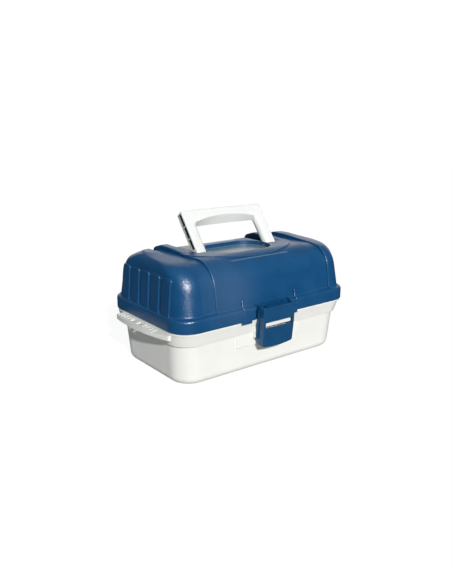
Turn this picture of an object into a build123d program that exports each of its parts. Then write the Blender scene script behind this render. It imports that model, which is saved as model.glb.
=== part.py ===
from build123d import *
from math import cos, hypot, radians, sin, sqrt, tan
import os

os.makedirs("parts", exist_ok=True)

# The tackle box stands on z = 0. X runs along its length, Y from the latch side to the hinge side.

# Parting line and lid flange
rim_height = 87.4
rim_gap = 0.3
flange_length = 348.0
flange_depth = 211.8
flange_corner = 33.6
flange_height = 21.0
flange_edge = 5.0
flange_foot_edge = 1.5
flange_wall = 3.6

# Lid dome: the walls lean inwards and roll over into a level top
dome_top = 182.5
dome_step = 5.6
dome_front_step = 6.9
end_lean = 4.5
front_lean = 9.0
end_roll = 20.0
front_roll = 44.0
dome_corner = 29.0
foot_blend = 4.0
blend_slices = 6
lid_wall = 2.8

# Beyond the sunk bands the lid is crowned: height, front edge and back edge of each level above the roll
crown_top = 187.0
crown_levels = (
    (178.0, -68.5, 68.0),
    (180.5, -57.0, 62.5),
    (182.3, -36.0, 58.0),
    (184.0, -14.0, 53.0),
    (185.5, 5.0, 48.5),
    (186.5, 20.0, 44.0),
)

# Lid surface features
band_inner = 105.0
band_outer = 131.0
band_recess = 2.6
band_round = 1.6
ridge_width = 15.0
ridge_rise = 5.0
deck_half = band_inner - ridge_width
deck_drop = 6.0
platform_half_length = 106.5
platform_half_depth = 59.0
platform_centre = -12.0
platform_rise = 1.2
dish_length = 117.0
dish_depth = 76.0
dish_corner = 34.0
dish_centre = -13.0
dish_drop = 7.0
panel_count = 5
panel_pitch = 29.5
panel_width = 22.5
panel_top = 164.0
panel_rise = 2.4
panel_edge = 1.2
bead_centre = -3.5
bead_offset = 54.0
bead_width = 4.6
bead_top = 121.0
bead_proud_front = 1.2
lug_centre = -6.0
lug_offset = 47.5
lug_width = 20.0
lug_hang = 3.4
lug_proud = 0.9
lug_rise = 8.0

# Base tub
foot_length = 321.6
foot_depth = 180.1
foot_corner = 35.0
foot_edge = 13.0
tub_wall = 2.8
tub_floor = 3.2
shoulder_height = 65.0
tub_flare_length = 4.5
tub_flare_depth = 5.0
shoulder_step = 2.4
band_flare_length = 4.2
band_flare_depth = 5.6
bead_height = 2.6
bead_proud = 1.2
pad_half = 65.0
pad_height = 21.0
pad_recess = 0.4

# Rear hinge
hinge_offset = 5.1
knuckle_radius = 4.5
hinge_pin_radius = 1.5
pin_play = 0.1
base_knuckle_length = 24.0
lid_knuckle_length = 12.0
knuckle_gap = 0.4
hinge_spacing = 190.0

# Latch and its catch on the tub
latch_half = 32.0
latch_wall = 3.0
latch_proud = 14.6
latch_bottom = 42.0
latch_corner = 4.0
latch_tuck = 3.6
latch_edge = 1.4
latch_taper = 1.2
latch_roof = 1.5
roof_half = 20.8
latch_bow = 2.6
cheek_rib = 1.4
cheek_rib_width = 3.2
latch_pin_back = 9.5
latch_pin_drop = 6.4
latch_pin_radius = 1.5
latch_cheek_back = 15.2
latch_low_back = 17.6
window_bottom = 75.0
window_top = 84.5
window_half = 28.4
catch_gap = 2.1
catch_margin = 1.3
latch_bay_half = 36.0
latch_bay_depth = 8.4
latch_lug_outer = 27.4
latch_lug_width = 6.0
latch_lug_radius = 4.6

# Carrying handle
handle_half = 81.5
handle_leg = 20.5
handle_thickness = 16.0
handle_reach = 76.0
grip_height = 26.0
grip_arch = 12.0
handle_lean = 37.0
handle_fold = 82.0
handle_pivot_y = -11.0
handle_pivot_drop = 5.0
handle_pin_radius = 2.0
handle_side_gap = 1.0
handle_wall = 2.6
grip_shoulder = 4.0
grip_corner = 3.0
web_count = 3
web_thickness = 1.6
channel_start = 9.0
channel_end = 72.5
channel_depth = 18.0
channel_back = 2.4
channel_front = 3.4
pin_seat_depth = 2.2

# Bait racks clipped below the rim on both ends
rack_reach = 15.8
rack_front = -79.0
rack_back = 62.0
rack_bow = 12.0
rack_arc = 330.0
rack_height = 7.6
rack_web = 2.6
rack_lip = 2.2
rack_drop = 0.4
rack_seat_margin = 12.0
rack_seat_height = 10.0
slot_centre = 5.0
slot_count = 2
slot_pitch = 19.0
slot_length = 12.5
slot_width = 8.4
slit_count = 4
slit_pitch = 9.4
slit_length = 3.0

# Cantilever linkage: equal links keep both trays level while the lid opens
link_angle = 24.0
lower_link = 51.0
upper_link = 94.0
pivot_shift_y = -30.0
pivot_shift_z = -5.0
strap_width = 12.0
strap_thickness = 1.5
rivet_radius = 2.0
rivet_head = 3.5
rivet_head_height = 1.0
rivet_play = 0.1
rivet_depth = 9.0
arm_boss_radius = 4.6
side_gap = 0.3

# Trays
tray_half = 146.0
tray_wall = 1.8
tray_corner = 8.0
lower_tray_front = -78.0
lower_tray_back = 75.0
lower_tray_bottom = 86.0
lower_tray_height = 26.5
upper_tray_front = -76.0
upper_tray_back = 63.0
upper_tray_height = 25.0
tray_gap = 2.0
tray_lip = 1.6
tray_lip_height = 2.2
boss_radius = 4.0
partition_share = 0.44
divider_wall = 1.4
divider_gap = 0.3
divider_drop = 3.0

# Places worked out from the sizes above
shoulder_length = foot_length + 2 * tub_flare_length
shoulder_depth = foot_depth + 2 * tub_flare_depth
band_bottom_length = shoulder_length + 2 * shoulder_step
band_bottom_depth = shoulder_depth + 2 * shoulder_step
band_top = rim_height - rim_gap - bead_height
band_top_length = band_bottom_length + 2 * band_flare_length
band_top_depth = band_bottom_depth + 2 * band_flare_depth
flange_top = rim_height + flange_height
dome_half_length = flange_length / 2 - dome_step
dome_half_depth = flange_depth / 2 - dome_front_step
hinge_y = flange_depth / 2 + hinge_offset
deck_height = dome_top - deck_drop


def rounded_stack(levels, ruled=True):
    """Body lofted through level rounded rectangles: height, length, depth, corner, any shift along Y."""
    with BuildPart(mode=Mode.PRIVATE) as body:
        for height, length, depth, corner, *shift in levels:
            with BuildSketch(Plane.XY.offset(height)):
                with Locations((0, sum(shift))):
                    RectangleRounded(length, depth, corner)
        loft(ruled=ruled)
    return body.part


def side_prism(points, x_from, x_to):
    """Straight-sided profile in the Y-Z plane, drawn out along X."""
    with BuildPart(mode=Mode.PRIVATE) as body:
        with BuildSketch(Plane.YZ.offset(x_from)):
            with BuildLine():
                Polyline(*points, close=True)
            make_face()
        extrude(amount=x_to - x_from)
    return body.part


def rod(x_from, x_to, y, z, radius):
    """Round bar along X."""
    with BuildPart(mode=Mode.PRIVATE) as body:
        with BuildSketch(Plane.YZ.offset(x_from)):
            with Locations((y, z)):
                Circle(radius)
        extrude(amount=x_to - x_from)
    return body.part


def block(x_from, x_to, y_from, y_to, z_from, z_to):
    """Plain box between two corners."""
    with BuildPart(mode=Mode.PRIVATE) as body:
        with Locations(((x_from + x_to) / 2, (y_from + y_to) / 2, (z_from + z_to) / 2)):
            Box(x_to - x_from, y_to - y_from, z_to - z_from)
    return body.part


def mirrored(body):
    """The same body on the other side of the Y-Z plane."""
    return mirror(body, about=Plane.YZ, mode=Mode.PRIVATE)


def rolled_wall(height, foot, foot_height, lean, roll, top):
    """Half size of a leaning wall at a height, where it rolls over into the top."""
    slope = tan(radians(lean))
    centre_height = top - roll
    centre = foot - slope * (centre_height - foot_height) - roll / cos(radians(lean))
    if height <= centre_height + roll * sin(radians(lean)):
        return foot - slope * (height - foot_height)
    return centre + sqrt(max(roll**2 - (height - centre_height) ** 2, 0.0))


wall_drops = (7.5, 12.0, 18.0, 25.0, 33.0, 42.0, 52.0, 63.0, 73.0)


def dome(grow, foot_height=flange_top - flange_edge):
    """Lid dome, moved outwards by grow on every side."""
    top = dome_top + grow
    heights = [foot_height] + [top - drop for drop in reversed((0.0, 0.6, 2.0, 4.2) + wall_drops)]
    levels = []
    for height in heights:
        long_half = rolled_wall(height, dome_half_length + grow, flange_top, end_lean, end_roll, top)
        deep_half = rolled_wall(height, dome_half_depth + grow, flange_top, front_lean, front_roll, top)
        levels.append((height, 2 * long_half, 2 * deep_half, dome_corner + min(grow, 0)))
    return rounded_stack(levels, ruled=False)


def crowned_dome(end_grow):
    """Lid dome with the crown that it has beyond the sunk bands, its ends moved outwards by end_grow."""
    levels = []
    for height in [flange_top - flange_edge] + [dome_top - drop for drop in reversed(wall_drops)]:
        deep_half = rolled_wall(height, dome_half_depth, flange_top, front_lean, front_roll, dome_top)
        levels.append((height, -deep_half, deep_half))
    outline = []
    for height, front, back in levels + list(crown_levels):
        long_half = rolled_wall(height, dome_half_length + end_grow, flange_top, end_lean, end_roll, crown_top)
        corner = min(dome_corner, 0.45 * (back - front))
        outline.append((height, 2 * long_half, back - front, corner, (front + back) / 2))
    return rounded_stack(outline, ruled=False)


def blend_circle(step):
    """Hollow round at the foot of a wall set back by step: centre height, and where it meets the flange."""
    across = flange_edge - min(step - foot_blend, flange_edge)
    rise = sqrt((flange_edge + foot_blend) ** 2 - across**2)
    low = flange_top - flange_edge
    return low + rise, low + rise * flange_edge / (flange_edge + foot_blend)


def foot_skirt(recess):
    """Hollow round between the flange and the dome, set back by recess, in thin level slices."""
    levels = []
    for share in range(blend_slices + 1):
        sizes = []
        for half, step, lean in (
            (dome_half_length - recess, dome_step + recess, end_lean),
            (dome_half_depth - recess, dome_front_step + recess, front_lean),
        ):
            centre, touch = blend_circle(step)
            height = touch + (centre - touch) * share / blend_slices
            reach = foot_blend - sqrt(foot_blend**2 - (centre - height) ** 2)
            sizes.append((height, half - (height - flange_top) * tan(radians(lean)) + reach, reach))
        (height, long_half, long_reach), (_, deep_half, deep_reach) = sizes
        levels.append((height, 2 * long_half, 2 * deep_half, dome_corner + (long_reach + deep_reach) / 2))
    bottom, top = levels[0], levels[-1]
    levels.insert(0, (flange_top - flange_edge, *bottom[1:]))
    levels.append((top[0] + 1.0, top[1] - 3.0, top[2] - 3.0, top[3]))
    return rounded_stack(levels)


def tub_outline(height, inset):
    """Lower wall of the tub at a height, moved inwards by inset."""
    share = height / shoulder_height
    length = foot_length + 2 * (tub_flare_length * share - inset)
    depth = foot_depth + 2 * (tub_flare_depth * share - inset)
    return height, length, depth, foot_corner - inset


def band_outline(height, inset):
    """Upper band of the tub at a height, moved inwards by inset."""
    share = (height - shoulder_height) / (band_top - shoulder_height)
    length = band_bottom_length + 2 * (band_flare_length * share - inset)
    depth = band_bottom_depth + 2 * (band_flare_depth * share - inset)
    return height, length, depth, flange_corner - inset


# Rear hinge: knuckles stand in turn on the tub and on the lid, on one pin at each end
hinge_centres = (-hinge_spacing / 2, hinge_spacing / 2)
lid_knuckle_shift = (base_knuckle_length + lid_knuckle_length) / 2 + knuckle_gap
hinge_pin_half = base_knuckle_length / 2 + knuckle_gap + lid_knuckle_length + 1.0
base_leaf = [
    (flange_depth / 2 - 5, rim_height - 1.0),
    (hinge_y, rim_height - 1.0),
    (hinge_y + knuckle_radius - 0.2, rim_height - 1.0),
    (hinge_y + knuckle_radius / 2, rim_height - 4.0),
    (flange_depth / 2 - 5, rim_height - 13.0),
]
lid_leaf = [
    (flange_depth / 2 - 2, rim_height + 0.5),
    (hinge_y, rim_height + 0.5),
    (hinge_y + knuckle_radius - 0.2, rim_height + 1.0),
    (hinge_y + knuckle_radius / 2, rim_height + 4.0),
    (flange_depth / 2 - 2, rim_height + 12.0),
]

# Latch and catch
latch_front = -(flange_depth / 2 + latch_proud)
latch_top = flange_top - 0.9
latch_inner = latch_front + latch_wall
latch_back = latch_front + latch_cheek_back
latch_low = latch_front + latch_low_back
latch_pin_y = latch_front + latch_pin_back
latch_pin_z = latch_top - latch_pin_drop
bay_wall = -(flange_depth / 2 - latch_bay_depth)
catch_face = latch_inner + catch_gap
catch_half = window_half - 0.7
catch_plate_half = latch_half + 3.0
catch_plate_front = band_bottom_depth / 2 + 4.6
catch_plate_bottom = 57.0
catch_plate_top = 74.0

# Linkage: points in the Y-Z plane
link_y = -cos(radians(link_angle))
link_z = sin(radians(link_angle))


def on_lid_link(reach):
    """Point on the hanger line, at a distance from the rear hinge."""
    return hinge_y + reach * link_y, rim_height + reach * link_z


def on_arm(reach):
    """Point on the arm line, at a distance from the arm's own pivot."""
    point = on_lid_link(reach)
    return point[0] + pivot_shift_y, point[1] + pivot_shift_z


arm_inner = tray_half + 5.2
arm_outer = arm_inner + strap_thickness
hanger_inner = arm_outer + 2.0
hanger_outer = hanger_inner + strap_thickness
tray_inner = tray_half - tray_wall
hanger_rivets_at = (lower_link + 14.0, upper_link - 14.0)
arm_pivot = on_arm(0)

# Handle pivot
platform_top = dome_top + platform_rise
handle_pivot_z = platform_top - handle_pivot_drop
leg_inner = handle_half - handle_leg
pocket_inner = leg_inner - handle_side_gap
pocket_outer = handle_half + handle_side_gap
pin_from = pocket_inner - pin_seat_depth
pin_to = pocket_outer + pin_seat_depth

# Tub: flared wall, band with a proud bead, pad and catch on the front, bosses for the arms
rack_inner = band_top_length / 2 + 0.6
rack_top = band_top - rack_drop
tub_body = rounded_stack([tub_outline(0, 0), tub_outline(shoulder_height, 0)])
band_body = rounded_stack([band_outline(shoulder_height, 0), band_outline(band_top, 0)])
bead_length = band_top_length + 2 * bead_proud
bead_depth = band_top_depth + 2 * bead_proud
bead_body = rounded_stack(
    [(height, bead_length, bead_depth, flange_corner) for height in (band_top, rim_height - rim_gap)]
)
with BuildPart(mode=Mode.PRIVATE) as tub_room:
    levels = (tub_floor, shoulder_height + tub_wall)
    add(rounded_stack([tub_outline(height, tub_wall) for height in levels]))
    fillet(edges().group_by(Axis.Z)[0], foot_edge - tub_wall)
levels = (shoulder_height + tub_wall, rim_height)
band_room = rounded_stack([band_outline(height, tub_wall) for height in levels])
with BuildPart(mode=Mode.PRIVATE) as pad:
    with BuildSketch(Plane.XZ.offset(shoulder_depth / 2 - 8)):
        with Locations((0, shoulder_height + 3 - pad_height / 2)):
            Rectangle(2 * pad_half, pad_height + 6)
    extrude(amount=8 + shoulder_step - pad_recess)
    fillet(edges().filter_by(Axis.Y), 2.0)
    fillet(faces().sort_by(Axis.Y)[0].edges(), 1.0)

with BuildPart(mode=Mode.PRIVATE) as catch_plate:
    add(block(-catch_plate_half, catch_plate_half, -catch_plate_front, 1 - band_bottom_depth / 2,
              catch_plate_bottom, catch_plate_top))
    fillet(faces().sort_by(Axis.Y)[0].edges(), 1.2)

with BuildPart() as base_shell:
    add(tub_body)
    fillet(edges().group_by(Axis.Z)[0], foot_edge)
    add(band_body)
    add(bead_body)
    add(pad.part)
    for side in (-1, 1):
        seat = block(
            shoulder_length / 2 - 2, rack_inner, rack_front + rack_seat_margin, rack_back - rack_seat_margin,
            rack_top - rack_seat_height, rack_top
        )
        add(seat if side > 0 else mirrored(seat))
    add(tub_room.part, mode=Mode.SUBTRACT)
    add(band_room, mode=Mode.SUBTRACT)
    add(catch_plate.part)
    add(block(-catch_half, catch_half, catch_face, -band_bottom_depth / 2, window_bottom + catch_margin,
              window_top - 0.8))
    add(block(-catch_half + 2.4, catch_half - 2.4, catch_face + 2.4, -band_top_depth / 2 - 1,
              window_bottom, window_top - 3.2), mode=Mode.SUBTRACT)
    for centre in hinge_centres:
        start = centre - base_knuckle_length / 2
        add(side_prism(base_leaf, start, start + base_knuckle_length))
        add(rod(start, start + base_knuckle_length, hinge_y, rim_height, knuckle_radius))
        pin_hole = rod(start, start + base_knuckle_length, hinge_y, rim_height, hinge_pin_radius)
        add(pin_hole, mode=Mode.SUBTRACT)
    boss = rod(arm_outer + side_gap, band_top_length / 2 - tub_wall, *arm_pivot, arm_boss_radius)
    bore = rod(arm_outer + side_gap, arm_outer + side_gap + rivet_depth, *arm_pivot, rivet_radius)
    for body, mode in ((boss, Mode.ADD), (bore, Mode.SUBTRACT)):
        add(body, mode=mode)
        add(mirrored(body), mode=mode)
base_shell.part.label = "base_shell"
export_step(base_shell.part, "parts/base_shell.step")

# Bait rack: an upturned shallow tray with a row of slots, bowed outwards
rack_outer = flange_length / 2 + rack_reach
slot_x = (rack_inner + rack_outer) / 2 - 0.6
slit_start = (slot_count * slot_pitch + slit_count * slit_pitch) / 2


def rack_outline(inset):
    """Rack seen from above, moved inwards by inset."""
    with BuildSketch(mode=Mode.PRIVATE) as outline:
        with Locations((rack_outer - rack_arc, rack_bow)):
            Circle(rack_arc - inset)
        with Locations(((rack_inner + rack_outer) / 2, (rack_front + rack_back) / 2)):
            reach = rack_outer - rack_inner - 2 * inset
            Rectangle(reach, rack_back - rack_front - 2 * inset, mode=Mode.INTERSECT)
    return outline.sketch


with BuildPart() as bait_rack_right:
    with BuildSketch(Plane.XY.offset(rack_top - rack_height)):
        add(rack_outline(0))
    extrude(amount=rack_height)
    fillet(edges().filter_by(Axis.Z).sort_by(Axis.X)[-2:], 2.5)
    with BuildSketch(Plane.XY.offset(rack_top - rack_height)):
        add(rack_outline(rack_lip))
    extrude(amount=rack_height - rack_web, mode=Mode.SUBTRACT)
    with BuildSketch(Plane.XY.offset(rack_top)):
        with Locations((slot_x, slot_centre)):
            with GridLocations(0, slot_pitch, 1, slot_count):
                Rectangle(slot_width, slot_length)
        for turn in (-1, 1):
            with Locations((slot_x, slot_centre + turn * slit_start)):
                with GridLocations(0, slit_pitch, 1, slit_count):
                    Rectangle(slot_width, slit_length)
    extrude(amount=-rack_web, mode=Mode.SUBTRACT)
bait_rack_right.part.label = "bait_rack_right"
export_step(bait_rack_right.part, "parts/bait_rack_right.step")

with BuildPart() as bait_rack_left:
    add(mirrored(bait_rack_right.part))
bait_rack_left.part.label = "bait_rack_left"
export_step(bait_rack_left.part, "parts/bait_rack_left.step")

with BuildPart() as hinge_pins:
    for centre in hinge_centres:
        add(rod(centre - hinge_pin_half, centre + hinge_pin_half, hinge_y, rim_height, hinge_pin_radius))
hinge_pins.part.label = "hinge_pins"
export_step(hinge_pins.part, "parts/hinge_pins.step")

# Lid: flange and dome in one shell, with its inside following the outside
slab_height = 240.0
band_foot = flange_top + 0.15
band_low = flange_top + 2.0
dish_floor = platform_top - dish_drop
fold_rise = 90.0 - handle_fold
well_radius = handle_thickness / 2 + handle_side_gap


def well_profile(grow):
    """Handle well in the Y-Z plane: round under the pin, then a ramp up to the rear deck."""
    radius = well_radius + grow
    foot_y = handle_pivot_y + radius * sin(radians(fold_rise))
    foot_z = handle_pivot_z - radius * cos(radians(fold_rise))
    ramp_end = foot_y + (deck_height - grow - foot_z) / tan(radians(fold_rise))
    with BuildSketch(Plane.YZ, mode=Mode.PRIVATE) as outline:
        with BuildLine():
            Polyline(
                (handle_pivot_y - radius, slab_height),
                (handle_pivot_y - radius, handle_pivot_z),
                (foot_y, foot_z),
                (ramp_end, deck_height - grow),
                (ramp_end, slab_height),
                close=True,
            )
        make_face()
        with Locations((handle_pivot_y, handle_pivot_z)):
            Circle(radius)
    return outline.sketch_local


def handle_well(grow):
    """Well for the right leg of the handle, its walls moved outwards by grow."""
    with BuildPart(mode=Mode.PRIVATE) as body:
        with BuildSketch(Plane.YZ.offset(pocket_inner - grow)):
            add(well_profile(grow))
        extrude(amount=pocket_outer - pocket_inner + 2 * grow)
    return body.part


def dish(grow):
    """Shallow dish in the middle of the platform."""
    with BuildPart(mode=Mode.PRIVATE) as body:
        with BuildSketch(Plane.XY.offset(dish_floor - grow)):
            with Locations((0, dish_centre)):
                RectangleRounded(dish_length + 2 * grow, dish_depth + 2 * grow, dish_corner + grow)
        extrude(amount=slab_height - dish_floor)
    return body.part


def deck(grow):
    """Sunk deck behind the platform, where the folded grip lies."""
    deck_front = dish_centre + dish_depth / 2 + 9.0
    with BuildPart(mode=Mode.PRIVATE) as body:
        with BuildSketch(Plane.XY.offset(deck_height - grow)):
            with Locations((0, slab_height / 4)):
                Rectangle(2 * (deck_half + grow), slab_height / 2)
            with Locations((0, platform_centre)):
                Ellipse(platform_half_length - grow, platform_half_depth - grow, mode=Mode.SUBTRACT)
            with Locations((0, deck_front + slab_height / 4 - grow)):
                Rectangle(2 * (deck_half + grow), slab_height / 2)
        extrude(amount=slab_height - deck_height)
    return body.part


def bay(grow):
    """Pocket in the front of the flange, where the latch hangs."""
    half = latch_bay_half + grow
    return block(-half, half, -flange_depth, bay_wall + grow, 0, flange_top + 2.0 + grow)


def across_lid(x_from, x_to, low, high):
    """Block between two places along the lid and two heights, deeper than the lid."""
    return block(x_from, x_to, -flange_depth, flange_depth, low, high)


def end_bands(grow):
    """Both upright slabs that the sunk bands lie in."""
    right = across_lid(band_inner - grow, band_outer + grow, band_foot - grow, slab_height)
    return [right, mirrored(right)]


def without_bands(body):
    """The body with a gap where each sunk band runs."""
    for slab in end_bands(0):
        body = body - slab
    return body


def step_edges(body, place):
    """Upper edges of a piece of dome where it ends in a level cut across the lid."""
    def on_step(edge):
        box = edge.bounding_box()
        return abs(box.min.X - place) < 0.01 and abs(box.max.X - place) < 0.01 and box.max.Z > band_low + 1

    return body.edges().filter_by(on_step)


with BuildPart(mode=Mode.PRIVATE) as flange:
    add(
        rounded_stack(
            [
                (rim_height, flange_length, flange_depth, flange_corner),
                (flange_top, flange_length, flange_depth, flange_corner),
            ]
        )
    )
    fillet(edges().group_by(Axis.Z)[-1], flange_edge)
    fillet(edges().group_by(Axis.Z)[0], flange_foot_edge)

with BuildPart(mode=Mode.PRIVATE) as platform:
    with BuildSketch(Plane.XY.offset(deck_height - 16)):
        with Locations((0, platform_centre)):
            Ellipse(platform_half_length, platform_half_depth)
    extrude(amount=40)
    add(dome(platform_rise), mode=Mode.INTERSECT)

ridge_profile = [
    (-60, deck_height - 20),
    (-60, dome_top - 6),
    (-30, dome_top + 0.5),
    (25, dome_top + ridge_rise - 0.6),
    (56, dome_top + ridge_rise),
    (76, dome_top - 1),
    (88, dome_top - 20),
    (88, deck_height - 20),
]
with BuildPart(mode=Mode.PRIVATE) as ridge:
    add(side_prism(ridge_profile, deck_half, band_inner))
    fillet(edges().filter_by(Axis.X).group_by(Axis.Z)[2:], 9.0)
    fillet(faces().filter_by(Axis.X).edges().filter_by(lambda edge: edge.center().Z > dome_top - 2), 2.4)

bead_profile = [
    (bay_wall + 3, flange_top - 14),
    (-flange_depth / 2 + 0.6, flange_top - 14),
    (-flange_depth / 2 - bead_proud_front, flange_top - 10),
    (-flange_depth / 2 - bead_proud_front + 0.8, flange_top - 2),
    (-dome_half_depth - 0.4, flange_top + 3),
    (-dome_half_depth + 0.9, bead_top - 2),
    (-dome_half_depth + 2.2, bead_top),
    (bay_wall + 3, bead_top),
]
with BuildPart(mode=Mode.PRIVATE) as bead:
    add(side_prism(bead_profile, -bead_width / 2, bead_width / 2))
    fillet(faces().filter_by(Axis.X).edges().filter_by(lambda edge: edge.center().Y < bay_wall - 2), 1.6)

lug_profile = [
    (-flange_depth / 2 + 3, rim_height + lug_rise),
    (-flange_depth / 2 - lug_proud + 0.2, rim_height + lug_rise),
    (-flange_depth / 2 - lug_proud, rim_height - 1.0),
    (-flange_depth / 2 - lug_proud + 0.6, rim_height - lug_hang),
    (-band_top_depth / 2 - bead_proud - 0.5, rim_height - lug_hang),
    (-band_top_depth / 2 - bead_proud - 0.5, rim_height + 0.5),
    (-flange_depth / 2 + 3, rim_height + 0.5),
]
with BuildPart(mode=Mode.PRIVATE) as rim_lug:
    add(side_prism(lug_profile, -lug_width / 2, lug_width / 2))
    fillet(edges().filter_by(lambda edge: edge.center().Y < 0.5 - lug_proud - flange_depth / 2), 0.6)

latch_lug_profile = [
    (bay_wall + 2, latch_pin_z - 9),
    (latch_pin_y, latch_pin_z - latch_lug_radius),
    (latch_pin_y, latch_pin_z + latch_lug_radius),
    (bay_wall + 2, latch_pin_z + 6.5),
]
latch_lug_start = latch_lug_outer - latch_lug_width

with BuildPart(mode=Mode.PRIVATE) as lid_room:
    add(dome(-lid_wall, rim_height - 1))
    room_length = flange_length - 2 * flange_wall
    room_depth = flange_depth - 2 * flange_wall
    levels = (rim_height - 1, flange_top - flange_wall)
    add(rounded_stack([(height, room_length, room_depth, flange_corner - flange_wall) for height in levels]))
    sunk = dome(-lid_wall - band_recess, rim_height - 2)
    for slab in end_bands(lid_wall):
        add(slab - sunk, mode=Mode.SUBTRACT)
    well = handle_well(handle_wall)
    for body in (dish(lid_wall), deck(lid_wall), bay(lid_wall), well, mirrored(well)):
        add(body, mode=Mode.SUBTRACT)

# Row of raised panels on each end wall, which follow its lean
with BuildPart(mode=Mode.PRIVATE) as panels:
    with BuildSketch(Plane.YZ.offset(dome_half_length - end_roll)):
        with Locations((0, (panel_top + rim_height) / 2)):
            with GridLocations(panel_pitch, 0, panel_count, 1):
                RectangleRounded(panel_width, panel_top - rim_height, panel_width / 2 - 6)
    extrude(amount=flange_length)
    add(crowned_dome(panel_rise), mode=Mode.INTERSECT)
    outer_edges = faces().filter_by(lambda face: face.center().X > dome_half_length - 6).edges()
    fillet(outer_edges.filter_by(lambda edge: edge.center().Z > flange_top), panel_edge)

with BuildPart(mode=Mode.PRIVATE) as dome_middle:
    add(dome(0) & across_lid(-band_inner, band_inner, band_low, slab_height))
    fillet(step_edges(dome_middle.part, band_inner) + step_edges(dome_middle.part, -band_inner), band_round)

with BuildPart(mode=Mode.PRIVATE) as dome_end:
    add(crowned_dome(0) & across_lid(band_outer, flange_length, band_low, slab_height))
    fillet(step_edges(dome_end.part, band_outer), band_round)

with BuildPart() as lid_shell:
    add(without_bands(dome(0) & across_lid(-flange_length, flange_length, 0, band_low)))
    add(dome(-band_recess) & across_lid(-band_outer - 5, band_outer + 5, band_low - 2, slab_height))
    add(dome_middle.part)
    add(dome_end.part)
    add(mirrored(dome_end.part))
    add(flange.part)
    add(without_bands(foot_skirt(0)))
    band_skirt = foot_skirt(band_recess)
    for slab in end_bands(1.0):
        add(band_skirt & slab)
    add(panels.part)
    add(mirrored(panels.part))
    add(platform.part)
    add(ridge.part)
    add(mirrored(ridge.part))
    for side in (-1, 1):
        add(Pos(bead_centre + side * bead_offset, 0, 0) * bead.part)
        add(Pos(lug_centre + side * lug_offset, 0, 0) * rim_lug.part)
    add(lid_room.part, mode=Mode.SUBTRACT)
    add(dish(0), mode=Mode.SUBTRACT)
    add(deck(0), mode=Mode.SUBTRACT)
    add(bay(0), mode=Mode.SUBTRACT)
    well = handle_well(0)
    add(well, mode=Mode.SUBTRACT)
    add(mirrored(well), mode=Mode.SUBTRACT)
    latch_lug = side_prism(latch_lug_profile, latch_lug_start, latch_lug_outer)
    latch_eye = rod(latch_lug_start, latch_lug_outer, latch_pin_y, latch_pin_z, latch_lug_radius)
    for body in (latch_lug, latch_eye):
        add(body)
        add(mirrored(body))
    lug_bore = rod(-latch_lug_outer, latch_lug_outer, latch_pin_y, latch_pin_z, latch_pin_radius)
    add(lug_bore, mode=Mode.SUBTRACT)
    for centre in hinge_centres:
        for turn in (-1, 1):
            start = centre + turn * lid_knuckle_shift - lid_knuckle_length / 2
            end = start + lid_knuckle_length
            add(side_prism(lid_leaf, start, end))
            add(rod(start, end, hinge_y, rim_height, knuckle_radius))
            add(rod(start, end, hinge_y, rim_height, hinge_pin_radius + pin_play), mode=Mode.SUBTRACT)
    for reach in hanger_rivets_at:
        y, z = on_lid_link(reach)
        stud = rod(hanger_outer, dome_half_length - lid_wall / 2, y, z, strap_width / 2)
        bore = rod(hanger_outer, hanger_outer + 4.0, y, z, rivet_radius)
        for body, mode in ((stud, Mode.ADD), (bore, Mode.SUBTRACT)):
            add(body, mode=mode)
            add(mirrored(body), mode=mode)
    pin_bore = rod(pin_from, pin_to, handle_pivot_y, handle_pivot_z, handle_pin_radius)
    add(pin_bore, mode=Mode.SUBTRACT)
    add(mirrored(pin_bore), mode=Mode.SUBTRACT)
lid_shell.part.label = "lid_shell"
export_step(lid_shell.part, "parts/lid_shell.step")

# Latch: front plate with two cheeks, hung on a pin through the lid's lugs
latch_side = [
    (latch_front, latch_top),
    (latch_front, window_bottom + 8),
    (latch_front + latch_tuck * 0.35, window_bottom - 9),
    (latch_front + latch_tuck, latch_bottom),
    (latch_low - 2.5, latch_bottom),
    (latch_low, latch_bottom + 9),
    (latch_low, window_bottom - 10),
    (latch_back, window_bottom + 8),
    (latch_back, latch_top),
]
hollow_side = [
    (latch_inner, latch_top + 1),
    (latch_inner, window_bottom + 8),
    (latch_inner + latch_tuck * 0.35, window_bottom - 9),
    (latch_inner + latch_tuck, latch_bottom),
    (latch_inner + latch_tuck, latch_bottom - 1),
    (latch_low + 1, latch_bottom - 1),
    (latch_low + 1, latch_top + 1),
]
rib_path = [
    (latch_low - cheek_rib_width / 2, latch_bottom + 14),
    (latch_low - cheek_rib_width / 2, window_bottom - 10),
    (latch_back - cheek_rib_width / 2, window_bottom + 8),
    (latch_back - cheek_rib_width / 2, latch_top - 8),
    (latch_back - cheek_rib_width, latch_top - 4),
    (latch_front + 5, latch_top - cheek_rib_width / 2),
]
with BuildPart(mode=Mode.PRIVATE) as rib:
    with BuildSketch(Plane.YZ.offset(latch_half - 1.5)):
        with BuildLine():
            Polyline(*rib_path)
        trace(line_width=cheek_rib_width)
    extrude(amount=1.5 + cheek_rib)

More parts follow.
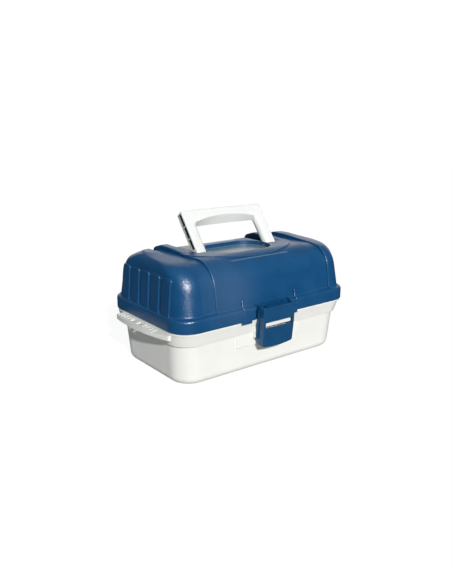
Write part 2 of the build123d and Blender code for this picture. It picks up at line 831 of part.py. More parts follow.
with BuildPart() as latch:
    with BuildSketch(Plane.YZ.offset(-latch_half)):
        with BuildLine():
            Polyline(*latch_side, close=True)
        make_face()
        fillet(vertices().sort_by_distance((latch_back, latch_top))[0], 6.0)
        fillet(vertices().sort_by_distance((latch_front, latch_top))[0], 1.6)
        fillet(vertices().sort_by_distance((latch_low, latch_bottom + 9))[0], 6.0)
    extrude(amount=2 * latch_half)
    with BuildSketch(Plane.XZ.offset(-latch_back - 4)):
        with BuildLine():
            low_right = (latch_half - latch_taper, latch_bottom + latch_bow)
            low_left = (latch_taper - latch_half, latch_bottom + latch_bow)
            Line((-latch_half, latch_top), (latch_half, latch_top))
            Line((latch_half, latch_top), low_right)
            ThreePointArc(low_right, (0, latch_bottom), low_left)
            Line(low_left, (-latch_half, latch_top))
        make_face()
        fillet(vertices().group_by(Axis.Y)[0], latch_corner)
    extrude(amount=-latch_front + latch_back + 8, mode=Mode.INTERSECT)
    front_edges = edges().filter_by(lambda edge: edge.center().Y < latch_front + 3)
    side_edges = front_edges.filter_by(lambda edge: abs(edge.center().X) > latch_half - 1)
    fillet(side_edges.filter_by(lambda edge: edge.center().Z < latch_top - 2), latch_edge)
    add(rib.part)
    add(mirrored(rib.part))
    add(side_prism(hollow_side, latch_wall - latch_half, latch_half - latch_wall), mode=Mode.SUBTRACT)
    add(block(-roof_half, roof_half, latch_front + 1.0, latch_back, latch_top - latch_roof, latch_top))
    window = block(-window_half, window_half, latch_front - 2, latch_inner + 2, window_bottom, window_top)
    add(window, mode=Mode.SUBTRACT)
    pin_bore = rod(-latch_half, latch_half, latch_pin_y, latch_pin_z, latch_pin_radius + pin_play)
    add(pin_bore, mode=Mode.SUBTRACT)
latch.part.label = "latch"
export_step(latch.part, "parts/latch.step")

with BuildPart() as latch_pin:
    add(rod(-latch_half, latch_half, latch_pin_y, latch_pin_z, latch_pin_radius))
latch_pin.part.label = "latch_pin"
export_step(latch_pin.part, "parts/latch_pin.step")

# Handle: a U moulding on two pins, drawn in its own leaning plane with the pins at its origin
lean_y = sin(radians(handle_lean))
lean_z = cos(radians(handle_lean))
handle_plane = Plane(
    origin=(0, handle_pivot_y, handle_pivot_z), x_dir=(1, 0, 0), z_dir=(0, -lean_z, lean_y)
)
handle_mid = handle_thickness / 2
gap_top = handle_reach - grip_height
arch_half = leg_inner - 0.1
with BuildPart(mode=Mode.PRIVATE) as arch:
    for offset, shoulder, crest in (
        (handle_mid + 0.5, gap_top + grip_shoulder, gap_top + grip_arch),
        (-handle_mid - 0.5, gap_top - 1.0, gap_top),
    ):
        with BuildSketch(handle_plane.offset(offset)):
            with BuildLine():
                ends = [(side * arch_half, shoulder) for side in (1, -1)]
                low_ends = [(side * arch_half, gap_top - 8) for side in (1, -1)]
                Polyline(ends[0], low_ends[0], low_ends[1], ends[1])
                ThreePointArc(ends[1], (0, crest), ends[0])
            make_face()
    loft(ruled=True)

channel_length = channel_end - channel_start
with BuildPart(mode=Mode.PRIVATE) as channel:
    with BuildSketch(handle_plane.offset(channel_back - handle_mid)):
        with Locations((handle_half, channel_start + channel_length / 2)):
            Rectangle(2 * channel_depth, channel_length)
        for web in range(1, web_count):
            with Locations((handle_half, channel_start + channel_length * (web / web_count) ** 1.1)):
                Rectangle(2 * handle_leg, web_thickness, mode=Mode.SUBTRACT)
    extrude(amount=handle_thickness - channel_back - channel_front)

with BuildPart() as handle:
    with BuildSketch(handle_plane.offset(-handle_mid)):
        with Locations((0, (handle_reach - handle_mid) / 2)):
            Rectangle(2 * handle_half, handle_reach + handle_mid)
        fillet(vertices().group_by(Axis.Y)[-1], 3.0)
        with Locations((0, (gap_top - handle_mid - 1) / 2)):
            Rectangle(2 * leg_inner, gap_top + handle_mid + 1, mode=Mode.SUBTRACT)
    extrude(amount=handle_thickness)
    across = Axis((0, 0, 0), (0, -lean_z, lean_y))
    long_edges = edges().filter_by(across)
    fillet(long_edges.filter_by(lambda edge: abs(abs(edge.center().X) - leg_inner) < 0.1), grip_corner)
    leg_axis = Axis(handle_plane.origin, (0, lean_y, lean_z))
    fillet(edges().filter_by(Axis.X).group_by(leg_axis)[0], handle_mid - 0.05)
    fillet(edges().filter_by(Axis.X).group_by(leg_axis)[-1], 2.5)
    add(arch.part, mode=Mode.SUBTRACT)
    for body in (channel.part, mirrored(channel.part)):
        add(body, mode=Mode.SUBTRACT)
    pin_bore = rod(-handle_half, handle_half, handle_pivot_y, handle_pivot_z, handle_pin_radius + pin_play)
    add(pin_bore, mode=Mode.SUBTRACT)
handle.part.label = "handle"
export_step(handle.part, "parts/handle.step")

with BuildPart() as handle_pins:
    bar = rod(pin_from, pin_to, handle_pivot_y, handle_pivot_z, handle_pin_radius)
    add(bar)
    add(mirrored(bar))
handle_pins.part.label = "handle_pins"
export_step(handle_pins.part, "parts/handle_pins.step")


# Trays: open boxes with an out-turned rim, rivet bosses on the ends and guide ribs for the dividers
def tray_divider_places(row):
    """X positions of the cross dividers in a row."""
    count = 3 if row == "front" else 2
    room = 2 * tray_inner / (count + 1)
    return [room * (place + 1) - tray_inner for place in range(count)]


def partition_y(front, back):
    """Middle plane of the long partition."""
    return front + partition_share * (back - front)


def tray_body(front, back, bottom, height, hanger_point, arm_point):
    """Tray with its bosses, holes and guide ribs."""
    middle = (front + back) / 2
    depth = back - front
    top = bottom + height
    split = partition_y(front, back)
    with BuildPart(mode=Mode.PRIVATE) as body:
        with BuildSketch(Plane.XY.offset(bottom)):
            with Locations((0, middle)):
                RectangleRounded(2 * tray_half, depth, tray_corner)
        extrude(amount=height)
        fillet(edges().group_by(Axis.Z)[0], 3.0)
        with BuildSketch(Plane.XY.offset(top - tray_lip_height)):
            with Locations((0, middle)):
                RectangleRounded(2 * (tray_half + tray_lip), depth + 2 * tray_lip, tray_corner + tray_lip)
        extrude(amount=tray_lip_height)
        with BuildSketch(Plane.XY.offset(bottom + tray_wall)):
            with Locations((0, middle)):
                RectangleRounded(2 * tray_inner, depth - 2 * tray_wall, tray_corner - tray_wall)
        extrude(amount=height, mode=Mode.SUBTRACT)
        rib_height = height - tray_wall - divider_drop
        rib_middle = bottom + tray_wall + rib_height / 2
        rib_shift = (divider_wall + divider_wall) / 2 + divider_gap
        for row, wall_y, turn in (("front", front + tray_wall, 1), ("back", back - tray_wall, -1)):
            for place in tray_divider_places(row):
                for shift in (-rib_shift, rib_shift):
                    with Locations((place + shift, wall_y + turn * 0.7, rib_middle)):
                        Box(divider_wall, 2.2, rib_height)
        for side in (-1, 1):
            for shift in (-rib_shift, rib_shift):
                with Locations((side * (tray_inner - 0.7), split + shift, rib_middle)):
                    Box(2.2, divider_wall, rib_height)
        hanger_boss = rod(tray_inner, hanger_inner - side_gap, *hanger_point, boss_radius)
        arm_boss = rod(tray_inner, arm_inner - side_gap, *arm_point, boss_radius)
        hanger_bore = rod(tray_inner - 3, hanger_inner, *hanger_point, rivet_radius + rivet_play)
        arm_bore = rod(tray_inner - 3, arm_inner, *arm_point, rivet_radius)
        for boss in (hanger_boss, arm_boss):
            add(boss)
            add(mirrored(boss))
        for bore in (hanger_bore, arm_bore):
            add(bore, mode=Mode.SUBTRACT)
            add(mirrored(bore), mode=Mode.SUBTRACT)
    return body.part


def partition_body(front, back, bottom, height):
    """Long partition standing between the end walls of a tray."""
    split = partition_y(front, back)
    half = tray_inner - divider_gap
    floor = bottom + tray_wall
    top = bottom + height - divider_drop
    return block(-half, half, split - divider_wall / 2, split + divider_wall / 2, floor, top)


def divider_bodies(front, back, bottom, height):
    """Cross dividers on both sides of the long partition."""
    split = partition_y(front, back)
    floor = bottom + tray_wall
    top = bottom + height - divider_drop
    play = divider_wall / 2 + divider_gap
    end_gap = tray_wall + divider_gap
    rows = (("front", front + end_gap, split - play), ("back", split + play, back - end_gap))
    bodies = []
    for row, start, end in rows:
        for place in tray_divider_places(row):
            bodies.append(block(place - divider_wall / 2, place + divider_wall / 2, start, end, floor, top))
    return bodies


upper_tray_bottom = lower_tray_bottom + lower_tray_height + tray_gap
tray_sizes = {
    "lower": (lower_tray_front, lower_tray_back, lower_tray_bottom, lower_tray_height),
    "upper": (upper_tray_front, upper_tray_back, upper_tray_bottom, upper_tray_height),
}
tray_links = {"lower": lower_link, "upper": upper_link}
for name, sizes in tray_sizes.items():
    reach = tray_links[name]
    with BuildPart() as tray:
        add(tray_body(*sizes, on_lid_link(reach), on_arm(reach)))
    tray.part.label = name + "_tray"
    export_step(tray.part, "parts/" + tray.part.label + ".step")
    with BuildPart() as partition:
        add(partition_body(*sizes))
    partition.part.label = name + "_tray_partition"
    export_step(partition.part, "parts/" + partition.part.label + ".step")
    with BuildPart() as dividers:
        for body in divider_bodies(*sizes):
            add(body)
    dividers.part.label = name + "_tray_dividers"
    export_step(dividers.part, "parts/" + dividers.part.label + ".step")


# Steel straps: a hanger on each end wall of the lid, and an arm on each end of the tub
def strap(x_from, start, end, bores):
    """Flat strap with round ends between two points, with a hole at each bore: point and radius."""
    centre = ((start[0] + end[0]) / 2, (start[1] + end[1]) / 2)
    with BuildPart(mode=Mode.PRIVATE) as body:
        with BuildSketch(Plane.YZ.offset(x_from)):
            with Locations(centre):
                length = hypot(end[0] - start[0], end[1] - start[1])
                SlotCenterToCenter(length, strap_width, rotation=-link_angle)
            for point, radius in bores:
                with Locations(point):
                    Circle(radius, mode=Mode.SUBTRACT)
        extrude(amount=strap_thickness)
    return body.part


lower_hang = on_lid_link(lower_link)
upper_hang = on_lid_link(upper_link)
lower_arm_pin = on_arm(lower_link)
upper_arm_pin = on_arm(upper_link)
hanger_bores = [(lower_hang, rivet_radius), (upper_hang, rivet_radius)]
hanger_bores += [(on_lid_link(reach), rivet_radius) for reach in hanger_rivets_at]
hanger = strap(hanger_inner, lower_hang, upper_hang, hanger_bores)
arm_bores = [(point, rivet_radius + rivet_play) for point in (arm_pivot, lower_arm_pin, upper_arm_pin)]
arm = strap(arm_inner, arm_pivot, upper_arm_pin, arm_bores)
for name, body in (("tray_hanger", hanger), ("tray_arm", arm)):
    for side, turned in (("right", body), ("left", mirrored(body))):
        with BuildPart() as steel:
            add(turned)
        steel.part.label = name + "_" + side
        export_step(steel.part, "parts/" + steel.part.label + ".step")


def rivet(inner_head, shank_end, outer_head, point):
    """Rivet along X: a head that starts at inner_head, a shank, and any head at outer_head."""
    with BuildPart(mode=Mode.PRIVATE) as body:
        add(rod(inner_head, inner_head + rivet_head_height, *point, rivet_head))
        add(rod(inner_head, shank_end, *point, rivet_radius))
        if outer_head is not None:
            add(rod(outer_head, outer_head + rivet_head_height, *point, rivet_head))
        fillet(edges().filter_by(GeomType.CIRCLE).group_by(Axis.X)[0], rivet_head_height * 0.6)
    return body.part


loose_head = tray_inner - divider_gap - rivet_head_height
tight_head = tray_inner - rivet_head_height
arm_head = arm_outer + side_gap
rivet_sets = {
    "tray_pivot_rivets": [
        rivet(loose_head, hanger_outer + rivet_head_height, hanger_outer, point)
        for point in (lower_hang, upper_hang)
    ],
    "lower_arm_rivets": [rivet(tight_head, arm_head + rivet_head_height, arm_head, lower_arm_pin)],
    "upper_arm_rivets": [rivet(tight_head, arm_head + rivet_head_height, arm_head, upper_arm_pin)],
    "base_arm_rivets": [
        rivet(arm_inner - side_gap - rivet_head_height, arm_outer + side_gap + rivet_depth, None, arm_pivot)
    ],
    "hanger_rivets": [
        rivet(hanger_inner - rivet_head_height, hanger_outer + 4.0, None, on_lid_link(reach))
        for reach in hanger_rivets_at
    ],
}
for name, bodies in rivet_sets.items():
    with BuildPart() as rivets:
        for body in bodies:
            add(body)
            add(mirrored(body))
    rivets.part.label = name
    export_step(rivets.part, "parts/" + name + ".step")
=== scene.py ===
import bmesh
import bpy
import math
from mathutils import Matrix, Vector


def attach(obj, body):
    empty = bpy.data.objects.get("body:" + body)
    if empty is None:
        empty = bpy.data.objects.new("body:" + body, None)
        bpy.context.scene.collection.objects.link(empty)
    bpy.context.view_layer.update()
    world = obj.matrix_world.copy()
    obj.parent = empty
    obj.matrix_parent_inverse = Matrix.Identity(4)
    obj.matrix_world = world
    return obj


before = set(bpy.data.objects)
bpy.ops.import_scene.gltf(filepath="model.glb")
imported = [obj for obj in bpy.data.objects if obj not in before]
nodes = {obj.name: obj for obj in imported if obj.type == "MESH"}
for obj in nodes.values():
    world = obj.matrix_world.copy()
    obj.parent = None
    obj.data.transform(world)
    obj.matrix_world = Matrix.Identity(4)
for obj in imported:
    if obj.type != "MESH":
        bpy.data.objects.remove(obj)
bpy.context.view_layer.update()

# Camera: stands to the left of the latch side, a little above the lid.
view_camera = bpy.data.objects.new("view_camera", bpy.data.cameras.new("view_camera"))
bpy.context.scene.collection.objects.link(view_camera)
view_camera.location = (-0.5989, -0.7645, 0.3707)
camera_aim = Vector((-0.0126, 0.0, 0.1048))
view_camera.rotation_euler = (camera_aim - view_camera.location).to_track_quat("-Z", "Y").to_euler()
view_camera.data.sensor_width = 36.0
view_camera.data.lens = 36.645
bpy.context.scene.camera = view_camera
bpy.context.scene.view_settings.view_transform = "Standard"

# Key light: one soft-edged lamp high on the camera's side. It throws the shadow of the rack down the tub.
key_light = bpy.data.objects.new("key_light", bpy.data.lights.new("key_light", "SUN"))
bpy.context.scene.collection.objects.link(key_light)
key_turn = math.radians(20)
key_rise = math.radians(28)
key_from = Vector((-math.sin(key_turn), -math.cos(key_turn), math.tan(key_rise)))
key_light.rotation_euler = key_from.to_track_quat("Z", "Y").to_euler()
key_light.data.energy = 3.6
key_light.data.angle = math.radians(2.5)

# Room: a weak cool fill, stronger from above, and a white wall behind the box, which also lights its back.
room = bpy.data.worlds.new("room")
bpy.context.scene.world = room
room.use_nodes = True
room_tree = room.node_tree
room_tree.nodes.clear()
room_out = room_tree.nodes.new("ShaderNodeOutputWorld")
room_fill = room_tree.nodes.new("ShaderNodeBackground")
room_fill.inputs["Color"].default_value = (0.66, 0.84, 1.0, 1.0)
room_height = room_tree.nodes.new("ShaderNodeSeparateXYZ")
room_rise = room_tree.nodes.new("ShaderNodeMapRange")
room_rise.inputs["To Min"].default_value = 0.03
room_rise.inputs["To Max"].default_value = 0.27
room_wall = room_tree.nodes.new("ShaderNodeBackground")
room_wall.inputs["Color"].default_value = (1.0, 1.0, 1.0, 1.0)
room_wall.inputs["Strength"].default_value = 1.0
room_rays = room_tree.nodes.new("ShaderNodeLightPath")
room_place = room_tree.nodes.new("ShaderNodeTexCoord")
wall_towards = (0.617, 0.787, 0.0)
wall_side = room_tree.nodes.new("ShaderNodeVectorMath")
wall_side.operation = "DOT_PRODUCT"
wall_side.inputs[1].default_value = wall_towards
wall_edge = room_tree.nodes.new("ShaderNodeMapRange")
wall_edge.interpolation_type = "SMOOTHSTEP"
wall_edge.inputs["From Min"].default_value = 0.72
wall_edge.inputs["From Max"].default_value = 0.96
wall_seen = room_tree.nodes.new("ShaderNodeMath")
wall_seen.operation = "MAXIMUM"
room_mix = room_tree.nodes.new("ShaderNodeMixShader")
room_tree.links.new(room_place.outputs["Generated"], wall_side.inputs[0])
room_tree.links.new(room_place.outputs["Generated"], room_height.inputs["Vector"])
room_tree.links.new(room_height.outputs["Z"], room_rise.inputs["Value"])
room_tree.links.new(room_rise.outputs["Result"], room_fill.inputs["Strength"])
room_tree.links.new(wall_side.outputs["Value"], wall_edge.inputs["Value"])
room_tree.links.new(wall_edge.outputs["Result"], wall_seen.inputs[0])
room_tree.links.new(room_rays.outputs["Is Camera Ray"], wall_seen.inputs[1])
room_tree.links.new(wall_seen.outputs["Value"], room_mix.inputs["Fac"])
room_tree.links.new(room_fill.outputs["Background"], room_mix.inputs[1])
room_tree.links.new(room_wall.outputs["Background"], room_mix.inputs[2])
room_tree.links.new(room_mix.outputs["Shader"], room_out.inputs["Surface"])

# Floor: one wide pale sheet under the box. It keeps a faint shadow, and the box's gloss sees it darker.
floor_reach = 6.0
floor_corners = [(x * floor_reach, y * floor_reach, 0.0) for x, y in ((-1, -1), (1, -1), (1, 1), (-1, 1))]
floor_mesh = bpy.data.meshes.new("floor")
floor_mesh.from_pydata(floor_corners, [], [(0, 1, 2, 3)])
floor = bpy.data.objects.new("floor", floor_mesh)
bpy.context.scene.collection.objects.link(floor)
floor_paint = bpy.data.materials.new("floor_paint")
floor_paint.use_nodes = True
floor_tree = floor_paint.node_tree
floor_tree.nodes.clear()
floor_out = floor_tree.nodes.new("ShaderNodeOutputMaterial")
floor_matt = floor_tree.nodes.new("ShaderNodeBsdfDiffuse")
floor_glow = floor_tree.nodes.new("ShaderNodeEmission")
floor_glow.inputs["Strength"].default_value = 1.14
floor_rays = floor_tree.nodes.new("ShaderNodeLightPath")
floor_shade = floor_tree.nodes.new("ShaderNodeMapRange")
floor_shade.inputs["To Min"].default_value = 0.58
floor_shade.inputs["To Max"].default_value = 0.06
floor_tree.links.new(floor_rays.outputs["Is Glossy Ray"], floor_shade.inputs["Value"])
floor_tree.links.new(floor_shade.outputs["Result"], floor_matt.inputs["Color"])
floor_share = floor_tree.nodes.new("ShaderNodeMath")
floor_share.operation = "MULTIPLY"
floor_share.inputs[1].default_value = 0.82
floor_mix = floor_tree.nodes.new("ShaderNodeMixShader")
floor_tree.links.new(floor_rays.outputs["Is Camera Ray"], floor_share.inputs[0])
floor_tree.links.new(floor_share.outputs["Value"], floor_mix.inputs["Fac"])
floor_tree.links.new(floor_matt.outputs["BSDF"], floor_mix.inputs[1])
floor_tree.links.new(floor_glow.outputs["Emission"], floor_mix.inputs[2])
floor_tree.links.new(floor_mix.outputs["Shader"], floor_out.inputs["Surface"])
floor_mesh.materials.append(floor_paint)


# Tub: injection-moulded white polypropylene, faintly warm, with a fine satin skin.
# It carries the racks, the hinge knuckles and the catch in one moulding.
def dress(node_name, skin):
    """Give one moulded or metal part its finish."""
    mesh = nodes[node_name].data
    mesh.materials.clear()
    mesh.materials.append(skin)


def blend_colour(tree, share, under, over):
    """Lay one plain colour over a colour socket, by a share that may vary, and give the new colour socket."""
    blend = tree.nodes.new("ShaderNodeMix")
    blend.data_type = "RGBA"
    share_in, under_in, over_in = blend.inputs["Factor"], blend.inputs[6], blend.inputs[7]
    over_in.default_value = (*over, 1.0)
    tree.links.new(share, share_in)
    tree.links.new(under, under_in)
    return blend.outputs[2]


def moulded_plastic(name, colour, shade, haze, grain_scale, grain_height, roughness):
    """Moulded plastic: cloudy colour, a raised grain, fine handling scratches and uneven gloss."""
    plastic = bpy.data.materials.new(name)
    plastic.use_nodes = True
    tree = plastic.node_tree
    skin = tree.nodes["Principled BSDF"]
    place = tree.nodes.new("ShaderNodeTexCoord")
    cloud = tree.nodes.new("ShaderNodeTexNoise")
    cloud.inputs["Scale"].default_value = 38.0
    cloud.inputs["Detail"].default_value = 6.0
    tint = tree.nodes.new("ShaderNodeValToRGB")
    tint.color_ramp.elements[0].position = 0.35
    tint.color_ramp.elements[0].color = (*shade, 1.0)
    tint.color_ramp.elements[1].position = 0.65
    tint.color_ramp.elements[1].color = (*colour, 1.0)
    rub = tree.nodes.new("ShaderNodeTexNoise")
    rub.inputs["Scale"].default_value = 9.0
    rub.inputs["Detail"].default_value = 8.0
    rub.inputs["Roughness"].default_value = 0.7
    rub_edge = tree.nodes.new("ShaderNodeMapRange")
    rub_edge.inputs["From Min"].default_value = 0.5
    rub_edge.inputs["From Max"].default_value = 0.72
    rub_edge.inputs["To Max"].default_value = 0.35
    grain = tree.nodes.new("ShaderNodeTexNoise")
    grain.inputs["Scale"].default_value = grain_scale
    grain.inputs["Detail"].default_value = 3.0
    grain.inputs["Roughness"].default_value = 0.6
    relief = tree.nodes.new("ShaderNodeBump")
    relief.inputs["Distance"].default_value = grain_height
    stretch = tree.nodes.new("ShaderNodeMapping")
    stretch.inputs["Scale"].default_value = (60.0, 900.0, 900.0)
    stretch.inputs["Rotation"].default_value = (0.3, 0.5, 0.4)
    scratch = tree.nodes.new("ShaderNodeTexNoise")
    scratch.inputs["Scale"].default_value = 1.0
    scratch.inputs["Detail"].default_value = 2.0
    scratch_edge = tree.nodes.new("ShaderNodeMapRange")
    scratch_edge.inputs["From Min"].default_value = 0.66
    scratch_edge.inputs["From Max"].default_value = 0.72
    scratch_edge.inputs["To Max"].default_value = 0.12
    polish = tree.nodes.new("ShaderNodeMapRange")
    polish.inputs["To Min"].default_value = roughness - 0.06
    polish.inputs["To Max"].default_value = roughness + 0.06
    gloss = tree.nodes.new("ShaderNodeMath")
    gloss.operation = "ADD"
    for texture in (cloud, rub, grain, stretch):
        tree.links.new(place.outputs["Object"], texture.inputs["Vector"])
    tree.links.new(cloud.outputs["Fac"], tint.inputs["Fac"])
    tree.links.new(rub.outputs["Fac"], rub_edge.inputs["Value"])
    worn = blend_colour(tree, rub_edge.outputs["Result"], tint.outputs["Color"], haze)
    tree.links.new(worn, skin.inputs["Base Color"])
    tree.links.new(grain.outputs["Fac"], relief.inputs["Height"])
    tree.links.new(relief.outputs["Normal"], skin.inputs["Normal"])
    tree.links.new(stretch.outputs["Vector"], scratch.inputs["Vector"])
    tree.links.new(scratch.outputs["Fac"], scratch_edge.inputs["Value"])
    tree.links.new(cloud.outputs["Fac"], polish.inputs["Value"])
    tree.links.new(polish.outputs["Result"], gloss.inputs[0])
    tree.links.new(scratch_edge.outputs["Result"], gloss.inputs[1])
    tree.links.new(gloss.outputs["Value"], skin.inputs["Roughness"])
    return plastic


tub_skin = moulded_plastic(
    "tub_skin", (0.82, 0.81, 0.76), (0.79, 0.78, 0.73), (0.76, 0.75, 0.71), 900.0, 0.00003, 0.40
)
dress("base_shell", tub_skin)

# Bait racks: slotted white mouldings clipped under the rim of the tub, one at each end.
# Same plastic as the tub, a little dulled by handling on top.
rack_skin = moulded_plastic(
    "rack_skin", (0.82, 0.81, 0.76), (0.78, 0.77, 0.72), (0.72, 0.71, 0.67), 900.0, 0.00003, 0.45
)
for rack_name in ("bait_rack_left", "bait_rack_right"):
    dress(rack_name, rack_skin)

# Lid: one moulded shell of deep blue polypropylene on the rear hinge pins. Its leather grain sparkles where
# light glances off. The dish is smoother, with a painted reflection of the sky on its floor.
# One place on the front carries a painted sheen.
def inside_span(tree, source, middle, half):
    """Give 1 where a coordinate lies within a half width of a middle, and 0 elsewhere."""
    span = tree.nodes.new("ShaderNodeMath")
    span.operation = "COMPARE"
    span.inputs[1].default_value = middle
    span.inputs[2].default_value = half
    tree.links.new(source, span.inputs[0])
    return span.outputs["Value"]


def overlap(tree, first, second):
    """Give the area where both masks are 1."""
    both = tree.nodes.new("ShaderNodeMath")
    both.operation = "MULTIPLY"
    tree.links.new(first, both.inputs[0])
    tree.links.new(second, both.inputs[1])
    return both.outputs["Value"]


lid_skin = moulded_plastic(
    "lid_skin", (0.003, 0.068, 0.185), (0.002, 0.060, 0.165), (0.018, 0.080, 0.190), 480.0, 0.00044, 0.31
)
lid_tree = lid_skin.node_tree
lid_shader = lid_tree.nodes["Principled BSDF"]
lid_shader.inputs["Specular IOR Level"].default_value = 0.85
lid_bump = lid_shader.inputs["Normal"].links[0].from_node
lid_colour = lid_shader.inputs["Base Color"].links[0].from_socket
lid_gloss = lid_shader.inputs["Roughness"].links[0].from_socket
lid_place = lid_tree.nodes.new("ShaderNodeTexCoord")
lid_axes = lid_tree.nodes.new("ShaderNodeSeparateXYZ")
lid_tree.links.new(lid_place.outputs["Object"], lid_axes.inputs["Vector"])

# A lighter, greyer round patch near the left of the front is a painted sheen, standing in for glossy light
# there.
sheen_middle = (-0.078, -0.100, 0.135)
sheen_radius = 0.075
sheen_colour = (0.060, 0.125, 0.235)
sheen_reach = lid_tree.nodes.new("ShaderNodeVectorMath")
sheen_reach.operation = "DISTANCE"
sheen_reach.inputs[1].default_value = sheen_middle
sheen_edge = lid_tree.nodes.new("ShaderNodeMapRange")
sheen_edge.interpolation_type = "SMOOTHSTEP"
sheen_edge.inputs["From Max"].default_value = sheen_radius
sheen_edge.inputs["To Min"].default_value = 0.5
sheen_edge.inputs["To Max"].default_value = 0.0
lid_tree.links.new(lid_place.outputs["Object"], sheen_reach.inputs[0])
lid_tree.links.new(sheen_reach.outputs["Value"], sheen_edge.inputs["Value"])
sheened_colour = blend_colour(lid_tree, sheen_edge.outputs["Result"], lid_colour, sheen_colour)

# The dish floor is painted pale grey-blue as a painted reflection of the sky; it is also smoother and less
# grained.
dish_floor = 0.1767
dish_floor_play = 0.0004
dish_half_length = 0.0588
dish_painted_reflection = (0.15, 0.21, 0.25)
dish_roughness = 0.22
dish_grain_share = 0.03
dish_area = overlap(
    lid_tree,
    inside_span(lid_tree, lid_axes.outputs["Z"], dish_floor, dish_floor_play),
    inside_span(lid_tree, lid_axes.outputs["X"], 0.0, dish_half_length),
)
reflected_colour = blend_colour(lid_tree, dish_area, sheened_colour, dish_painted_reflection)
lid_tree.links.new(reflected_colour, lid_shader.inputs["Base Color"])
dish_gloss = lid_tree.nodes.new("ShaderNodeMapRange")
dish_gloss.inputs["To Max"].default_value = dish_roughness
lid_tree.links.new(dish_area, dish_gloss.inputs["Value"])
lid_tree.links.new(lid_gloss, dish_gloss.inputs["To Min"])
lid_tree.links.new(dish_gloss.outputs["Result"], lid_shader.inputs["Roughness"])
dish_relief = lid_tree.nodes.new("ShaderNodeMapRange")
dish_relief.inputs["To Min"].default_value = 1.0
dish_relief.inputs["To Max"].default_value = dish_grain_share
lid_tree.links.new(dish_area, dish_relief.inputs["Value"])
lid_tree.links.new(dish_relief.outputs["Result"], lid_bump.inputs["Strength"])
dress("lid_shell", lid_skin)

# Front ribs: two short upright ribs of the lid's moulding, from the flange up the foot of the front.
# They are blue plastic, one with the lid, and their rounded edges catch the light.
rib_places = (-0.0575, 0.0505)
rib_half_width = 0.0024
rib_edge_radius = 0.0013
rib_outline = [
    (-0.0950, 0.1040), (-0.1063, 0.1040), (-0.1064, 0.1070), (-0.1038, 0.1095), (-0.1016, 0.1120),
    (-0.1006, 0.1180), (-0.0996, 0.1206), (-0.0974, 0.1222), (-0.0950, 0.1222),
]
rib_shape = bmesh.new()
for rib_x in rib_places:
    left, right = (
        [rib_shape.verts.new((rib_side, y, z)) for y, z in rib_outline]
        for rib_side in (rib_x - rib_half_width, rib_x + rib_half_width)
    )
    rib_shape.faces.new(left)
    rib_shape.faces.new(reversed(right))
    for i in range(len(rib_outline)):
        k = (i + 1) % len(rib_outline)
        rib_shape.faces.new((left[k], left[i], right[i], right[k]))
bmesh.ops.recalc_face_normals(rib_shape, faces=rib_shape.faces)
rib_mesh = bpy.data.meshes.new("lid_front_ribs")
rib_shape.to_mesh(rib_mesh)
rib_shape.free()
rib_mesh.polygons.foreach_set("use_smooth", [True] * len(rib_mesh.polygons))
rib_mesh.materials.append(lid_skin)
lid_front_ribs = bpy.data.objects.new("lid_front_ribs", rib_mesh)
bpy.context.scene.collection.objects.link(lid_front_ribs)
rib_round = lid_front_ribs.modifiers.new("rib_round", "BEVEL")
rib_round.width = rib_edge_radius
rib_round.segments = 4
rib_round.angle_limit = math.radians(50)
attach(lid_front_ribs, "lid")

# Latch: the same blue with a smoother skin, hung on its pin in front of the catch.
# It's the part most handled, so it's rubbed a little duller.
latch_skin = moulded_plastic(
    "latch_skin", (0.004, 0.064, 0.165), (0.003, 0.056, 0.150), (0.018, 0.072, 0.155), 700.0, 0.00008, 0.38
)
dress("latch", latch_skin)

# Handle: white U moulding that turns on two steel pins, hollowed from the outer sides of its legs.
# The hollows are painted a darker grey than the grip, as painted shade where little light reaches.
handle_skin = moulded_plastic(
    "handle_skin", (0.82, 0.82, 0.78), (0.79, 0.79, 0.75), (0.75, 0.75, 0.71), 900.0, 0.00002, 0.36
)
handle_pivot = Vector((0.0, -0.011, 0.1787))
handle_lean = math.radians(37)
# Dark grey painted shade for the hollows of the legs, laid in by a mask in the handle's own frame.
hollow_painted_shade = (0.30, 0.30, 0.28)
leg_middle, leg_half = 0.0722, 0.0091
hollow_middle, hollow_half = 0.0005, 0.0053
hollow_rise, hollow_half_height = 0.0408, 0.0320
hollow_tree = handle_skin.node_tree
hollow_shader = hollow_tree.nodes["Principled BSDF"]
hollow_place = hollow_tree.nodes.new("ShaderNodeTexCoord")
hollow_shift = hollow_tree.nodes.new("ShaderNodeVectorMath")
hollow_shift.operation = "SUBTRACT"
hollow_shift.inputs[1].default_value = handle_pivot
hollow_turn = hollow_tree.nodes.new("ShaderNodeVectorRotate")
hollow_turn.rotation_type = "X_AXIS"
hollow_turn.inputs["Angle"].default_value = handle_lean
hollow_axes = hollow_tree.nodes.new("ShaderNodeSeparateXYZ")
hollow_out = hollow_tree.nodes.new("ShaderNodeMath")
hollow_out.operation = "ABSOLUTE"
hollow_tree.links.new(hollow_place.outputs["Object"], hollow_shift.inputs[0])
hollow_tree.links.new(hollow_shift.outputs["Vector"], hollow_turn.inputs["Vector"])
hollow_tree.links.new(hollow_turn.outputs["Vector"], hollow_axes.inputs["Vector"])
hollow_tree.links.new(hollow_axes.outputs["X"], hollow_out.inputs[0])
leg_area = inside_span(hollow_tree, hollow_out.outputs["Value"], leg_middle, leg_half)
side_area = inside_span(hollow_tree, hollow_axes.outputs["Y"], hollow_middle, hollow_half)
height_area = inside_span(hollow_tree, hollow_axes.outputs["Z"], hollow_rise, hollow_half_height)
hollow_area = overlap(hollow_tree, overlap(hollow_tree, leg_area, side_area), height_area)
clean_colour = hollow_shader.inputs["Base Color"].links[0].from_socket
hollow_shaded_colour = blend_colour(hollow_tree, hollow_area, clean_colour, hollow_painted_shade)
hollow_tree.links.new(hollow_shaded_colour, hollow_shader.inputs["Base Color"])
dress("handle", handle_skin)

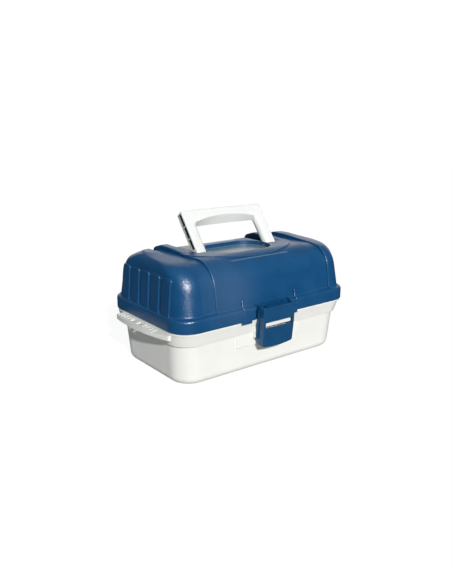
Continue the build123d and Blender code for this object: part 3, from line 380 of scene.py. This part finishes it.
# Trays: two open trays of pale polypropylene, moulded thin and without grain.
# They hang on the steel straps, and ribs inside hold the partitions and dividers.
tray_skin = moulded_plastic(
    "tray_skin", (0.80, 0.80, 0.77), (0.77, 0.77, 0.74), (0.72, 0.72, 0.70), 1100.0, 0.00001, 0.34
)
for tray_name in ("lower_tray", "upper_tray"):
    dress(tray_name, tray_skin)

# Partitions and cross dividers: flat pieces of thin milky polystyrene sheet.
# They slide down between the trays' ribs and are held by nothing else.
sheet_skin = moulded_plastic(
    "sheet_skin", (0.84, 0.84, 0.82), (0.81, 0.81, 0.79), (0.76, 0.76, 0.74), 1400.0, 0.00001, 0.28
)
for tray_name in ("lower_tray", "upper_tray"):
    dress(tray_name + "_partition", sheet_skin)
    dress(tray_name + "_dividers", sheet_skin)


# Tray straps: two hangers riveted inside the lid and two arms that turn on the tub.
# They are stamped from zinc-plated steel strip.
def plated_steel(name, colour, grain_stretch, roughness):
    """Zinc-plated steel: spangled colour, drawn lines and a patchy shine."""
    steel = bpy.data.materials.new(name)
    steel.use_nodes = True
    tree = steel.node_tree
    skin = tree.nodes["Principled BSDF"]
    skin.inputs["Metallic"].default_value = 1.0
    place = tree.nodes.new("ShaderNodeTexCoord")
    spangle = tree.nodes.new("ShaderNodeTexVoronoi")
    spangle.inputs["Scale"].default_value = 260.0
    tint = tree.nodes.new("ShaderNodeValToRGB")
    tint.color_ramp.elements[0].color = (*[value * 0.82 for value in colour], 1.0)
    tint.color_ramp.elements[1].color = (*colour, 1.0)
    stretch = tree.nodes.new("ShaderNodeMapping")
    stretch.inputs["Scale"].default_value = grain_stretch
    drawn = tree.nodes.new("ShaderNodeTexNoise")
    drawn.inputs["Scale"].default_value = 1.0
    drawn.inputs["Detail"].default_value = 4.0
    relief = tree.nodes.new("ShaderNodeBump")
    relief.inputs["Distance"].default_value = 0.00001
    polish = tree.nodes.new("ShaderNodeMapRange")
    polish.inputs["To Min"].default_value = roughness - 0.08
    polish.inputs["To Max"].default_value = roughness + 0.12
    tree.links.new(place.outputs["Object"], spangle.inputs["Vector"])
    tree.links.new(place.outputs["Object"], stretch.inputs["Vector"])
    tree.links.new(stretch.outputs["Vector"], drawn.inputs["Vector"])
    tree.links.new(spangle.outputs["Distance"], tint.inputs["Fac"])
    tree.links.new(tint.outputs["Color"], skin.inputs["Base Color"])
    tree.links.new(drawn.outputs["Fac"], relief.inputs["Height"])
    tree.links.new(relief.outputs["Normal"], skin.inputs["Normal"])
    tree.links.new(drawn.outputs["Fac"], polish.inputs["Value"])
    tree.links.new(polish.outputs["Result"], skin.inputs["Roughness"])
    return steel


strap_steel = plated_steel("strap_steel", (0.62, 0.62, 0.60), (1800.0, 120.0, 1800.0), 0.34)
for strap_name in ("tray_hanger_left", "tray_hanger_right", "tray_arm_left", "tray_arm_right"):
    dress(strap_name, strap_steel)

# Rivets: plated steel with rolled heads.
# They join the straps to the lid, the tub and both trays, and the straps turn on them.
rivet_steel = plated_steel("rivet_steel", (0.66, 0.66, 0.65), (900.0, 900.0, 900.0), 0.28)
for riveted_place in ("base_arm", "hanger", "lower_arm", "tray_pivot", "upper_arm"):
    dress(riveted_place + "_rivets", rivet_steel)

# Pins: plain drawn steel wire of the hinge, the latch and the handle.
# Each is pushed into the moulding that holds it.
pin_steel = plated_steel("pin_steel", (0.64, 0.64, 0.62), (120.0, 2200.0, 2200.0), 0.30)
for pin_name in ("hinge_pins", "latch_pin", "handle_pins"):
    dress(pin_name, pin_steel)
